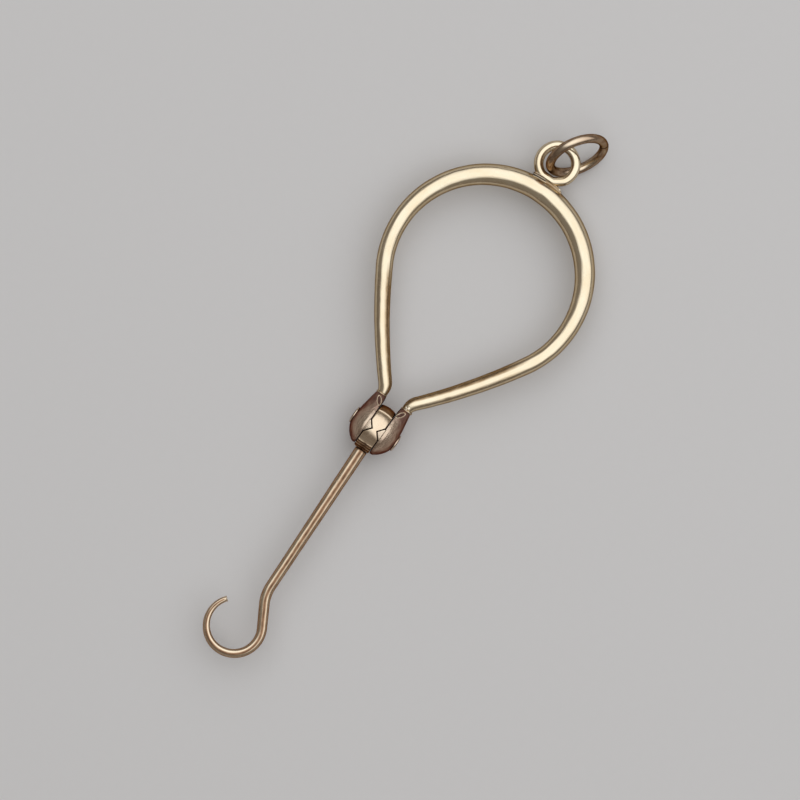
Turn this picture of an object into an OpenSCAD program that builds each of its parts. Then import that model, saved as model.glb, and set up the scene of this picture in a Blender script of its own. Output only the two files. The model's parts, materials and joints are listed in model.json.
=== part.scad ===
// Folding button hook in gold: a pear-shaped spring bow, a split ball joint with a
// V-shaped detent, a tapered hook that folds into the bow, and a hanging ring.
// The tool lies level along X, with the bow towards +X and the hook towards -X.

/* [Bow] */
// Distance from the pivot to the centre of the wire at the bow's far end
bow_reach = 34.75; // [30:0.05:42]
// Width of the bow between wire centres at its widest
bow_w = 24.1; // [18:0.1:28]
// Radius of the long flanks that run in towards the joint
flank_r = 74.5; // [50:0.5:120]
// Radius of the reverse bend at each foot
foot_bend_r = 2.2; // [1.8:0.1:4]
// Angle of each foot to the tool's axis where it meets the joint
foot_lean = 0; // [-6:1:15]
// Wire diameter at the bow's far end
bow_d_apex = 2.7; // [2.2:0.05:3.2]
// Wire diameter where the round end runs into the flank
bow_d_side = 2.05; // [1.7:0.05:2.5]
// Wire diameter where the flank runs into the foot
bow_d_foot = 1.65; // [1.3:0.05:2]
// Wire diameter at the very end of each foot
bow_d_end = 1.2; // [1:0.05:1.3]

/* [Ball joint] */
// Diameter of the ball
ball_d = 6.2; // [5.6:0.1:7.4]
// Distance between the inner faces of the two cheeks
cheek_gap = 2.16; // [1.9:0.02:2.6]
// Running clearance between each cheek and the knuckle
seam = 0.06; // [0.03:0.01:0.1]
// Diameter of the round stub on each cheek that carries a foot of the bow
stub_d = 1.44; // [1.36:0.02:1.8]
// Distance from the pivot to the centre of the stub's end, along the tool
stub_reach = 3.55; // [3:0.05:4]

/* [Detent] */
// Height of the triangular key that snaps into the knuckle's groove
key_h = 0.68; // [0.4:0.02:0.76]
// Width of the key at its base
key_w = 1.66; // [1.4:0.02:2]
// Lean of the keys and grooves about the pivot, towards the hook at the top
key_lean = 2; // [0:1:20]

/* [Pivot rivet] */
// Diameter of the rivet
rivet_d = 1; // [0.8:0.05:1.1]
// Radial clearance of the rivet in the knuckle
rivet_clear = 0.03; // [0.02:0.01:0.06]
// Diameter of the rivet's heads
rivet_head_d = 2.1; // [1.7:0.05:2.5]
// Height of the straight rim of each head
rivet_rim_h = 0.18; // [0.1:0.02:0.24]
// Height of the low dome on top of the rim
rivet_dome_h = 0.1; // [0.04:0.02:0.16]

/* [Hook] */
// Distance from the pivot to the centre of the curl, along the shank
hook_reach = 29; // [25:0.1:29.5]
// Radius of the curl to the wire's centre
curl_r = 3.35; // [2.8:0.05:4]
// Angle that the curl runs through
curl_turn = 250; // [200:1:255]
// Offset of the curl's centre from the line of the shank
curl_offset = 1.05; // [0.5:0.05:1.4]
// Angle of the bend where the shank swings out to the curl
bend_turn = 28; // [20:1:34]
// Radius of that bend
bend_r = 5; // [3:0.1:5]
// Set of the shank to one side of the tool's axis, from use
shank_skew = 1.8; // [0:0.1:2.5]
// Wire diameter at the shank's root
hook_d_root = 1.54; // [1.3:0.02:1.7]
// Wire diameter where the shank starts to bend
hook_d_bend = 1.3; // [1.1:0.02:1.4]
// Wire diameter at the tip
hook_d_tip = 0.64; // [0.5:0.02:0.8]
// Chamfer round the blunt tip
tip_chamfer = 0.08; // [0.04:0.01:0.14]

/* [Soldered joints] */
// Diameter of the tang at each foot of the bow and at the shank's root
tang_d = 0.6; // [0.5:0.05:0.8]
// Length of each tang
tang_l = 0.9; // [0.6:0.05:1.2]
// Gap that the solder fills
solder_gap = 0.02; // [0.01:0.01:0.04]

/* [Bail] */
// Diameter of the bail's hole
bail_hole_d = 3.3; // [2.9:0.05:3.8]
// Diameter of the bail's wire
bail_wire_d = 1.15; // [0.95:0.05:1.3]
// Depth of the flat filed on the bail's foot
bail_flat = 0.5; // [0.2:0.01:0.55]
// Angle of the bail round the bow from its far end
bail_turn = 2; // [-4:0.25:4]
// Thickness of the saddle under the bail
saddle_t = 0.16; // [0.12:0.01:0.35]
// Width of the saddle across the bow
saddle_w = 1.1; // [0.8:0.05:1.3]
// Length of the saddle along the bow
saddle_l = 3.6; // [2.8:0.1:4.4]

/* [Jump ring] */
// Mean diameter of the jump ring
ring_d = 6.9; // [6.2:0.1:7.6]
// Diameter of the jump ring's wire
ring_wire_d = 1.1; // [0.85:0.05:1.2]
// Place of the jump ring round the bail, from the tool's axis
ring_turn = 32; // [24:1:46]
// Lean of the jump ring from upright
ring_lean = 26; // [20:1:36]
// Gap, seen from above, between the ring's near side and the wall of the bail's hole
ring_gap = 0.22; // [0.18:0.02:0.6]
// Width of the saw cut in the jump ring
ring_split = 0.06; // [0.03:0.01:0.1]

/* [Hidden] */

$fn = 96;
YELLOW_GOLD = "#d9c48c";
ROSE_GOLD = "#cda27c";

// Facets of the two swept wires
WIRE_SIDES = 20;
FOOT_STEPS = 6;
FLANK_STEPS = 8;
ROUND_STEPS = 30;
BEND_STEPS = 6;
CURL_STEPS = 32;
// Taper law of the wire from the bend to the tip: slow at first, quick at the end
TIP_TAPER = 1.6;
// Length that a cutting shape runs past what it cuts
CUT = 1;
// Depth inside the ball at which a cheek's cone starts, so that the two meet in a clear edge
CONE_INSET = 0.02;

ball_r = ball_d / 2;
face_y = cheek_gap / 2;
knuckle_y = face_y - seam;

// Flat on the outside of a cheek that a head of the rivet sits on
head_seat = sqrt(ball_r * ball_r - pow(rivet_head_d / 2, 2));

// Stub of a cheek and the end of the bow that butts on it
stub_r = stub_d / 2;
stub = [stub_reach, face_y + stub_r];
foot_dir = [cos(foot_lean), sin(foot_lean)];
foot_seat = sqrt(stub_r * stub_r - pow(bow_d_end / 2, 2));
foot_end = stub + foot_seat * foot_dir;

// Centres of the arcs of the bow's left half, each arc tangent to the next
round_r = bow_w / 2;
round_c = [bow_reach - round_r, 0];
foot_c = foot_end + foot_bend_r * [-sin(foot_lean), cos(foot_lean)];
flank_c = circle_meeting(round_c, flank_r - round_r, foot_c, flank_r + foot_bend_r);
foot_heading = left_heading(foot_c - flank_c);
round_heading = left_heading(round_c - flank_c);

// Seat of the shank on the knuckle
shank_seat = sqrt(ball_r * ball_r - pow(hook_d_root / 2, 2));
shank_heading = 180 + shank_skew;
curl_c = hook_reach * heading_dir(shank_heading) - curl_offset * left_of(shank_heading);
// Where the line of the run to the curl crosses the line of the shank
bend_corner = hook_reach - (curl_r - curl_offset * cos(bend_turn)) / sin(bend_turn);
bend_start = bend_corner - bend_r * tan(bend_turn / 2);
bend_c = bend_start * heading_dir(shank_heading) + bend_r * left_of(shank_heading);
run_heading = shank_heading + bend_turn;
run_start = bend_c - bend_r * left_of(run_heading);
curl_start = curl_c + curl_r * left_of(run_heading);
run_l = norm(curl_start - run_start);
bend_l = bend_r * bend_turn * PI / 180;
curl_l = curl_r * curl_turn * PI / 180;
tip_heading = run_heading - curl_turn;
hook_tail_l = bend_l + run_l + curl_l;

// Bail and its saddle, on the bow's far end
saddle_r = round_r + bow_d_apex / 2 + solder_gap;
bail_seat_r = saddle_r + saddle_t + solder_gap;
bail_r = (bail_hole_d + bail_wire_d) / 2;
bail_c = round_c + (bail_seat_r + bail_r + bail_wire_d / 2 - bail_flat) * heading_dir(bail_turn);

// Jump ring, standing on the surface under the tool
ring_r = ring_d / 2;
ring_out = ring_r + ring_wire_d / 2 + ring_gap - bail_hole_d / 2;
ring_xy = bail_c + ring_out * heading_dir(-ring_turn);
ring_z = ring_r * cos(ring_lean) + ring_wire_d / 2;
ring_reach_x = ring_r * sqrt(1 - pow(cos(ring_lean) * sin(ring_turn), 2)) + ring_wire_d / 2;

// Shift that puts the middle of the tool's length over the origin
far_x = ring_xy.x + ring_reach_x;
near_x = curl_c.x - curl_r - curl_wire_r(90);
pivot = [-(far_x + near_x) / 2, 0, ball_r];

// Unit vector along a heading, and the one to its left
function heading_dir(a) = [cos(a), sin(a)];
function left_of(a) = [-sin(a), cos(a)];
// Heading of a path whose left side faces along v
function left_heading(v) = atan2(-v.x, v.y);
// Eased rise from 0 to 1
function ease(t) = (1 - cos(180 * t)) / 2;
function mix(a, b, t) = a + (b - a) * t;

// The point, on the right of the line from p to q, that lies rp from p and rq from q
function circle_meeting(p, rp, q, rq) =
    let (d = norm(q - p))
    let (along = (rp * rp - rq * rq + d * d) / (2 * d))
    let (across = sqrt(rp * rp - along * along))
    let (e = (q - p) / d)
    p + along * e + across * [-e.y, e.x];

// One station of a swept wire: its place, its heading and the wire's radius there
function station(p, heading, d) = [p.x, p.y, heading, d / 2];
function mirrored(s) = [s[0], -s[1], -180 - s[2], s[3]];

function foot_stations() = [
    for (i = [0 : FOOT_STEPS - 1])
    let (t = i / FOOT_STEPS, a = mix(foot_lean, foot_heading, t))
    station(foot_c - foot_bend_r * left_of(a), a, mix(bow_d_end, bow_d_foot, sin(90 * t)))
];
function flank_stations() = [
    for (i = [0 : FLANK_STEPS - 1])
    let (t = i / FLANK_STEPS, a = mix(foot_heading, round_heading, t))
    station(flank_c + flank_r * left_of(a), a, mix(bow_d_foot, bow_d_side, t))
];
function round_stations() = [
    for (i = [0 : ROUND_STEPS])
    let (t = i / ROUND_STEPS, a = mix(round_heading, -90, t))
    station(round_c + round_r * left_of(a), a, mix(bow_d_side, bow_d_apex, ease(t)))
];
function half_bow() = concat(foot_stations(), flank_stations(), round_stations());
function bow_stations() =
    let (half = half_bow())
    concat(half, [for (i = [len(half) - 2 : -1 : 0]) mirrored(half[i])]);

// Wire diameter at a length past the start of the bend, and its radius at a heading in the curl
function tail_d(l) = mix(hook_d_bend, hook_d_tip, pow(l / hook_tail_l, TIP_TAPER));
function curl_wire_r(a) = tail_d(bend_l + run_l + curl_r * (run_heading - a) * PI / 180) / 2;

function bend_stations() = [
    for (i = [0 : BEND_STEPS])
    let (t = i / BEND_STEPS, a = mix(shank_heading, run_heading, t))
    station(bend_c - bend_r * left_of(a), a, tail_d(t * bend_l))
];
function curl_stations() = [
    for (i = [0 : CURL_STEPS])
    let (t = i / CURL_STEPS, a = mix(run_heading, tip_heading, t))
    station(curl_c + curl_r * left_of(a), a, tail_d(bend_l + run_l + t * curl_l))
];
function hook_stations() =
    let (root = station(shank_seat * heading_dir(shank_heading), shank_heading, hook_d_root))
    let (tip = curl_c + curl_r * left_of(tip_heading) + tip_chamfer * heading_dir(tip_heading))
    let (end = station(tip, tip_heading, hook_d_tip - 2 * tip_chamfer))
    concat([root], bend_stations(), curl_stations(), [end]);

// Corner k of the ring of points round a station
function ring_point(s, k) =
    let (a = 360 * k / WIRE_SIDES)
    let (side = s[3] * cos(a) * left_of(s[2]))
    [s[0] + side.x, s[1] + side.y, s[3] * sin(a)];

// A round wire of changing diameter swept through a list of stations
module swept_wire(stations) {
    last = (len(stations) - 1) * WIRE_SIDES;
    corners = [for (s = stations) for (k = [0 : WIRE_SIDES - 1]) ring_point(s, k)];
    start = [for (k = [0 : WIRE_SIDES - 1]) k];
    end = [for (k = [WIRE_SIDES - 1 : -1 : 0]) last + k];
    wall = [
        for (i = [0 : len(stations) - 2])
        for (k = [0 : WIRE_SIDES - 1])
        let (a = i * WIRE_SIDES + k, b = i * WIRE_SIDES + (k + 1) % WIRE_SIDES)
        for (face = [[a, a + WIRE_SIDES, b + WIRE_SIDES], [a, b + WIRE_SIDES, b]])
        face
    ];
    polyhedron(corners, concat([start, end], wall));
}

// A rod lying along a heading, from a point backwards
module tang(p, heading, d, l, inset) {
    translate([p.x, p.y, 0])
    rotate([0, 90, heading])
    translate([0, 0, -l])
    cylinder(d = d, h = l + inset);
}

// A rod along the pivot
module pivot_rod(d) {
    rotate([90, 0, 0])
    cylinder(d = d, h = ball_d + 2 * CUT, center = true);
}

// The tear-shaped body of a cheek: the ball with the cone that runs from it to the stub's end
module tear() {
    cone_r = ball_r - CONE_INSET;
    slope = asin((cone_r - stub_r) / norm(stub));
    rotate([0, 90, atan2(stub.y, stub.x)])
    rotate_extrude()
    intersection() {
        union() {
            circle(r = ball_r);
            polygon([[0, 0], cone_r * [cos(slope), sin(slope)], [0, cone_r / sin(slope)]]);
        }
        translate([0, -ball_d]) square([ball_d, 3 * ball_d]);
    }
}

// The triangular bar of a detent, its base on a plane and its edge towards the pivot's middle
module detent_bar(base_y) {
    rotate([0, -key_lean, 0])
    translate([0, 0, -ball_r - CUT])
    linear_extrude(ball_d + 2 * CUT)
    polygon([[-key_w / 2, base_y], [0, base_y - key_h], [key_w / 2, base_y]]);
}

// Left cheek, on the side of +Y
module cheek() {
    difference() {
        tear();
        translate([-2 * ball_d, face_y - 2 * ball_d, -ball_d]) cube([4 * ball_d, 2 * ball_d, 2 * ball_d]);
        pivot_rod(rivet_d);
        translate([0, head_seat, 0]) rotate([-90, 0, 0]) cylinder(d = 2 * rivet_head_d, h = CUT);
        translate([foot_end.x, foot_end.y, 0]) rotate([0, 90, foot_lean]) cylinder(d = 2 * stub_d, h = CUT);
        tang(foot_end, foot_lean, tang_d + 2 * solder_gap, tang_l + solder_gap, CUT);
    }
}

// Left key, soldered on the inner face of the left cheek
module detent_key() {
    difference() {
        intersection() {
            detent_bar(face_y);
            sphere(r = ball_r);
        }
        pivot_rod(rivet_d);
    }
}

// Half outline of a head of the rivet, standing on the X axis: a low dome on a straight rim
module head_outline() {
    head_r = rivet_head_d / 2;
    dome_r = (head_r * head_r + rivet_dome_h * rivet_dome_h) / (2 * rivet_dome_h);
    intersection() {
        translate([0, rivet_rim_h + rivet_dome_h - dome_r]) circle(r = dome_r);
        square([head_r, rivet_rim_h + rivet_dome_h]);
    }
}

// A wire ring lying flat
module wire_ring(r, d, angle = 360) {
    rotate_extrude(angle = angle)
    translate([r, 0])
    circle(d = d);
}

module bow() {
    color(YELLOW_GOLD)
    translate(pivot)
    union() {
        swept_wire(bow_stations());
        tang(foot_end, foot_lean, tang_d, tang_l, tang_d / 2);
        mirror([0, 1, 0]) tang(foot_end, foot_lean, tang_d, tang_l, tang_d / 2);
    }
}

module left_cheek() {
    color(ROSE_GOLD)
    translate(pivot)
    cheek();
}

module right_cheek() {
    color(ROSE_GOLD)
    translate(pivot)
    mirror([0, 1, 0])
    cheek();
}

module left_detent_key() {
    color(ROSE_GOLD)
    translate(pivot)
    detent_key();
}

module right_detent_key() {
    color(ROSE_GOLD)
    translate(pivot)
    mirror([0, 1, 0])
    detent_key();
}

module pivot_rivet() {
    color(ROSE_GOLD)
    translate(pivot)
    rotate([90, 0, 0])
    rotate_extrude()
    union() {
        translate([0, -head_seat]) square([rivet_d / 2, 2 * head_seat]);
        translate([0, head_seat]) head_outline();
        mirror([0, 1]) translate([0, head_seat]) head_outline();
    }
}

module knuckle() {
    seat = shank_seat * heading_dir(shank_heading);
    color(ROSE_GOLD)
    translate(pivot)
    difference() {
        rotate([90, 0, 0])
        rotate_extrude()
        intersection() {
            circle(r = ball_r);
            translate([0, -knuckle_y]) square([ball_r, 2 * knuckle_y]);
        }
        detent_bar(knuckle_y);
        mirror([0, 1, 0]) detent_bar(knuckle_y);
        pivot_rod(rivet_d + 2 * rivet_clear);
        translate([seat.x, seat.y, 0]) rotate([0, 90, shank_heading]) cylinder(d = 2 * hook_d_root, h = CUT);
        tang(seat, shank_heading, tang_d + 2 * solder_gap, tang_l + solder_gap, CUT);
    }
}

module hook_wire() {
    color(ROSE_GOLD)
    translate(pivot)
    union() {
        swept_wire(hook_stations());
        tang(shank_seat * heading_dir(shank_heading), shank_heading, tang_d, tang_l, tang_d / 2);
    }
}

module bail_saddle() {
    half_turn = saddle_l / saddle_r * 90 / PI;
    color(YELLOW_GOLD)
    translate(pivot + [round_c.x, round_c.y, -saddle_w / 2])
    rotate(bail_turn - half_turn)
    rotate_extrude(angle = 2 * half_turn)
    translate([saddle_r, 0])
    square([saddle_t, saddle_w]);
}

module bail() {
    color(YELLOW_GOLD)
    translate(pivot)
    difference() {
        translate([bail_c.x, bail_c.y, 0]) wire_ring(bail_r, bail_wire_d);
        translate([round_c.x, round_c.y, -bail_wire_d]) cylinder(r = bail_seat_r, h = 2 * bail_wire_d);
    }
}

module jump_ring() {
    split_turn = ring_split / ring_r * 180 / PI;
    color(YELLOW_GOLD)
    translate([pivot.x + ring_xy.x, ring_xy.y, ring_z])
    rotate([90 - ring_lean, 0, -ring_turn])
    rotate(split_turn / 2)
    wire_ring(ring_r, ring_wire_d, 360 - split_turn);
}

bow();
left_cheek();
right_cheek();
left_detent_key();
right_detent_key();
pivot_rivet();
knuckle();
hook_wire();
bail_saddle();
bail();
jump_ring();
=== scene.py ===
"""Dressed model of a folding button hook in gold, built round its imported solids.

Sizes are in millimetres and angles in degrees, as in the solids. The tool lies along X, with the
bow towards +X and the hook towards -X. Meshes are put into metres when they are made.
"""

import json
import logging
import math
from dataclasses import dataclass, field, replace
from enum import Enum
from typing import Callable

import bpy
import numpy as np
from mathutils import Matrix


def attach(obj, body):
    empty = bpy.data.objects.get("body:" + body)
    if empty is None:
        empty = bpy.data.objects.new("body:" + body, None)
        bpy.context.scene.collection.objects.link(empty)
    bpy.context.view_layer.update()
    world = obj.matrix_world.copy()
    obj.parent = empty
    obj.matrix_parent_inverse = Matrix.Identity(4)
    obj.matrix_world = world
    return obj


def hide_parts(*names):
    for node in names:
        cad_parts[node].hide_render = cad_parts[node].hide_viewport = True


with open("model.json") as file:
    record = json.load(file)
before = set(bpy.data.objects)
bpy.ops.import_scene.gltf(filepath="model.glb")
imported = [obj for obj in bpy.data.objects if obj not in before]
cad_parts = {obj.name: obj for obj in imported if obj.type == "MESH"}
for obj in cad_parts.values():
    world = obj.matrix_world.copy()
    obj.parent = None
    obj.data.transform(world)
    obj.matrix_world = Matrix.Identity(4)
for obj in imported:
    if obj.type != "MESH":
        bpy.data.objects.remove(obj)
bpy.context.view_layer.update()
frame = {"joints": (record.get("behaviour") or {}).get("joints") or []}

LOG = logging.getLogger("button_hook")
MM = 0.001
HALVINGS = 40
NO_TURN = np.eye(3)
RIM_CLEAR = 1.01
# Width of the darkening along the sides of wires: partly patina, partly painted dark reflection.
SIDE_TONE = 0.65
WAVER = ((1.0, 0.83, 1, 0.4), (1.0, 0.37, -2, 0.0), (0.7, 1.9, 3, 2.1))

Colour = tuple[float, float, float, float]
Field = Callable[[np.ndarray], np.ndarray]
Spot = tuple[float, float]


class Body(Enum):
    """The moving bodies of the tool."""

    HANDLE = "handle"
    HOOK = "hook"
    RING = "ring"


class Slot(Enum):
    """The finishes that the record names."""

    YELLOW = "yellow_gold"
    ROSE = "rose_gold"


class Side(Enum):
    """Side of the tool, as the sign of Y."""

    LEFT = 1
    RIGHT = -1


def joint_place(name: str) -> np.ndarray:
    """Centre of the joint of that name in millimetres, read from the frame."""
    joint = next(j for j in frame["joints"] if j["name"] == name)
    return np.array(joint["pos_m"]) / MM


PIVOT = joint_place("fold")


# Shared mathematics


def heading_dir(a: np.ndarray | float) -> np.ndarray:
    """Unit vectors along headings in degrees, on a last axis of two."""
    r = np.radians(a)
    return np.stack([np.cos(r), np.sin(r)], -1)


def left_of(a: np.ndarray | float) -> np.ndarray:
    """Unit vectors to the left of headings in degrees, on a last axis of two."""
    r = np.radians(a)
    return np.stack([-np.sin(r), np.cos(r)], -1)


def circle(step: float) -> np.ndarray:
    """Angles in radians round a full turn, a step in degrees apart."""
    return np.radians(np.arange(0, 360, step))


def raised(flat: np.ndarray, up: np.ndarray) -> np.ndarray:
    """Points in space, from places in the plane and heights."""
    return np.concatenate([flat, up[..., None]], -1)


def mix(a: float, b: float, t: np.ndarray) -> np.ndarray:
    """Straight blend from a at t 0 to b at t 1."""
    return a + (b - a) * t


def ease(t: np.ndarray) -> np.ndarray:
    """Half cosine wave that rises from 0 at t 0 to 1 at t 1."""
    return (1 - np.cos(np.pi * t)) / 2


def signed_power(x: np.ndarray, n: float) -> np.ndarray:
    """The n-th power of the size of x, with the sign of x."""
    return np.sign(x) * np.abs(x) ** n


def bells(s: np.ndarray, *spots: Spot) -> np.ndarray:
    """Sum of bells exp(-((s - place) / half width)^2), one for each spot, kept at 1 or under."""
    return np.minimum(sum(np.exp(-(((s - p) / w) ** 2)) for p, w in spots), 1)


def smooth_max(a: np.ndarray, b: np.ndarray, k: float) -> np.ndarray:
    """Larger of two distances, with k / 4 times the square of their closeness added."""
    h = np.maximum(k - np.abs(a - b), 0) / k
    return np.maximum(a, b) + h * h * k / 4


def circle_meeting(p: np.ndarray, rp: float, q: np.ndarray, rq: float) -> np.ndarray:
    """The point that lies rp from p and rq from q, to the left of the way from p to q.

    Args:
        p: First centre.
        rp: Distance from it.
        q: Second centre.
        rq: Distance from that.

    Returns:
        The meeting point.
    """
    d = np.linalg.norm(q - p)
    along = (rp * rp - rq * rq + d * d) / (2 * d)
    e = (q - p) / d
    return p + along * e + math.sqrt(rp * rp - along * along) * np.array([-e[1], e[0]])


def ball_dirs(theta: np.ndarray, phi: np.ndarray) -> np.ndarray:
    """Unit vectors on a grid: (sin theta cos phi, sin theta sin phi, cos theta).

    Args:
        theta: Angles from Z in radians, one for each row.
        phi: Angles round Z, one for each column.

    Returns:
        The vectors, on a last axis of three.
    """
    theta, phi = theta[:, None], phi[None, :]
    x, y = np.sin(theta) * np.cos(phi), np.sin(theta) * np.sin(phi)
    return np.stack(np.broadcast_arrays(x, y, np.cos(theta)), -1)


def solve_rays(origin: np.ndarray, direction: np.ndarray, shape: Field, reach: float) -> np.ndarray:
    """Points where rays leave a solid, by halving the range of each ray again and again.

    Args:
        origin: Starts of the rays, inside the solid.
        direction: Unit directions of the rays.
        shape: Function of points that is below zero inside the solid.
        reach: Length that every ray leaves the solid within.

    Returns:
        The points on the solid's surface, in the shape of the rays.
    """
    low = np.zeros(direction.shape[:-1])
    high = np.full(direction.shape[:-1], reach)
    for _ in range(HALVINGS):
        middle = (low + high) / 2
        inside = shape(origin + middle[..., None] * direction) < 0
        low = np.where(inside, middle, low)
        high = np.where(inside, high, middle)
    return origin + low[..., None] * direction


# Surfaces


@dataclass
class Skin:
    """A closed surface on a grid of rows and columns, in millimetres.

    Columns close on themselves. Rows close on themselves where ring is set, and otherwise end in a
    pole at the mean of the end row. tarnish runs from 0, bright, to 1, dark, and is spread
    over the grid: it holds patina together with painted shade and painted reflections. lay holds
    the coordinates that the polish follows: the length along the piece, and the two directions
    across it. Where none is given, it holds the points.
    """

    points: np.ndarray
    tarnish: np.ndarray
    lay: np.ndarray | None = None
    ring: bool = False

    def __post_init__(self) -> None:
        """Fills in the lay and spreads the tarnish."""
        self.lay = self.points if self.lay is None else self.lay
        self.tarnish = np.broadcast_to(self.tarnish, self.points.shape[:2])

    def moved(self, shift: np.ndarray, turn: np.ndarray = NO_TURN) -> "Skin":
        """Turns the skin by a 3x3 matrix, then shifts it."""
        return replace(self, points=self.points @ turn.T + shift)

    def on(self, side: Side) -> "Skin":
        """The skin as it is on the left, or its reflection across y = 0 on the right."""
        flip = np.array([1.0, side.value, 1.0])
        return replace(self, points=self.points * flip, lay=self.lay * flip)

    def darkened(self, *tarnish: np.ndarray) -> "Skin":
        """Darkens the skin at least as far as each of some grids says; the grids hold patina,
        painted shade and painted reflections.
        """
        return replace(self, tarnish=np.maximum.reduce([self.tarnish, *tarnish]))

    def corners(self) -> tuple[np.ndarray, np.ndarray, np.ndarray]:
        """Lists the skin's points with their lay and darkening, poles last.

        Returns:
            Places, lay coordinates and darkening, one row for each vertex.
        """
        grids = (self.points, self.lay, self.tarnish)
        parts = [g.reshape(-1, *g.shape[2:]) for g in grids]
        if self.ring:
            return tuple(parts)
        poles = [np.stack([g[0].mean(0), g[-1].mean(0)]) for g in grids]
        return tuple(np.concatenate([a, b]) for a, b in zip(parts, poles))

    def faces(self) -> tuple[np.ndarray, np.ndarray]:
        """Lists quads between neighbouring rows and columns, and triangles round the poles.

        Returns:
            Vertex numbers of the quads and of the triangles.
        """
        rows, cols = self.points.shape[:2]
        i = np.arange(rows if self.ring else rows - 1)[:, None]
        k = np.arange(cols)[None, :]
        up, over = (i + 1) % rows, (k + 1) % cols
        quads = np.stack([i * cols + k, i * cols + over, up * cols + over, up * cols + k], -1)
        if self.ring:
            return quads.reshape(-1, 4), np.empty((0, 3), int)
        k, over, last = k[0], over[0], (rows - 1) * cols
        first_pole = np.full(cols, rows * cols)
        fans = [np.stack([first_pole, over, k], -1),
                np.stack([first_pole + 1, last + k, last + over], -1)]
        return quads.reshape(-1, 4), np.concatenate(fans)

    def build(self, name: str) -> bpy.types.Object:
        """Makes the mesh object, with its faces turned outwards.

        Args:
            name: Name of the piece.

        Returns:
            The new object, at the origin.
        """
        places, lay, tarnish = self.corners()
        quads, tris = self.faces()
        every = np.concatenate([quads[:, [0, 1, 2]], quads[:, [0, 2, 3]], tris])
        a, b, c = (places[every[:, n]] for n in range(3))
        if np.einsum("ij,ij->", a, np.cross(b, c)) < 0:
            quads, tris = quads[:, ::-1], tris[:, ::-1]
        mesh = bpy.data.meshes.new(name)
        mesh.from_pydata((places * MM).tolist(), [], quads.tolist() + tris.tolist())
        mesh.attributes.new("lay", "FLOAT_VECTOR", "POINT").data.foreach_set("vector", lay.ravel())
        mesh.attributes.new("tarnish", "FLOAT", "POINT").data.foreach_set("value", tarnish.ravel())
        mesh.shade_smooth()
        mesh.update()
        piece = bpy.data.objects.new(name, mesh)
        bpy.context.scene.collection.objects.link(piece)
        return piece


@dataclass
class WirePath:
    """Centre line of a wire in a plane: places, headings and radii, station by station."""

    xy: np.ndarray
    heading: np.ndarray
    radius: np.ndarray

    @staticmethod
    def joined(*paths: "WirePath") -> "WirePath":
        """One path from several that follow on from each other."""
        names = ("xy", "heading", "radius")
        return WirePath(*(np.concatenate([getattr(p, n) for p in paths]) for n in names))

    def picked(self, which: slice | np.ndarray) -> "WirePath":
        """The stations that an index picks out."""
        return WirePath(self.xy[which], self.heading[which], self.radius[which])

    def length(self) -> np.ndarray:
        """Length of the path from its start to each station."""
        steps = np.linalg.norm(np.diff(self.xy, axis=0), axis=1)
        return np.concatenate([[0.0], np.cumsum(steps)])

    def there_and_back(self) -> "WirePath":
        """The path followed by its own reflection across the tool's axis, walked backwards."""
        back = self.picked(slice(-2, None, -1))
        return WirePath.joined(self, WirePath(back.xy * [1, -1], -180 - back.heading, back.radius))

    def cap(self, n: int, c: float, sign: int) -> "WirePath":
        """Stations of one end: flat rings from its middle outwards, then its rounded rim.

        On a rim of radius c the wire's radius r falls by c (1 - sin b) at c (1 - cos b) from the
        end's plane, for b from 0 to 90 degrees.

        Args:
            n: Number of the end's station.
            c: Radius of the rim.
            sign: 1 at the start of the wire, -1 at its end.

        Returns:
            The stations, from the middle.
        """
        b = np.radians(np.linspace(0, 90, 6))
        disc = np.array([0.3, 0.6, 0.85, 0.97])
        r, a = self.radius[n], self.heading[n]
        off = np.concatenate([np.zeros(disc.size), c * (1 - np.cos(b))])
        radius = np.concatenate([disc * (r - c), r - c * (1 - np.sin(b))])
        xy = self.xy[n] + sign * off[:, None] * heading_dir(a)
        return WirePath(xy, np.full(off.shape, a), radius)

    def with_round_ends(self, rim: float) -> "WirePath":
        """Rounds the rims of both ends and closes the ends with flat rings.

        Args:
            rim: Radius of the rims.

        Returns:
            The path with its end stations added.
        """
        s = self.length()
        keep = (s > RIM_CLEAR * rim) & (s < s[-1] - RIM_CLEAR * rim)
        far = self.cap(-1, rim, -1).picked(slice(None, None, -1))
        return WirePath.joined(self.cap(0, rim, 1), self.picked(keep), far)


def arc(centre: np.ndarray, r: float, a: np.ndarray, side: int, radius: np.ndarray) -> WirePath:
    """Wire at headings a round a circle: side * r * left from it. Side 1 turns right, -1 left."""
    return WirePath(centre + side * r * left_of(a), a, radius)


@dataclass(frozen=True)
class Dents:
    """Shallow knocks in a wire, each a bell-shaped hollow on its unrolled surface.

    Each row holds the length along the wire, the angle round it from the left over the top, the
    half length, the half width in degrees and the depth.
    """

    rows: tuple[tuple[float, float, float, float, float], ...] = ()

    def depth(self, s: np.ndarray, a: np.ndarray) -> np.ndarray:
        """Sum of the bells depth * exp(-(ds / half length)^2 - (da / half width)^2).

        Args:
            s: Lengths along the wire, one for each row of the grid.
            a: Angles round it in degrees, one for each column.

        Returns:
            Depth of the surface below the plain wire, on the grid.
        """
        if not self.rows:
            return np.zeros((s.size, a.size))
        s0, a0, ls, la, d = (np.array(c)[:, None, None] for c in zip(*self.rows))
        da = (a[None, None, :] - a0 + 180) % 360 - 180
        hollows = d * np.exp(-(((s[None, :, None] - s0) / ls) ** 2) - (da / la) ** 2)
        return hollows.sum(0)


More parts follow.
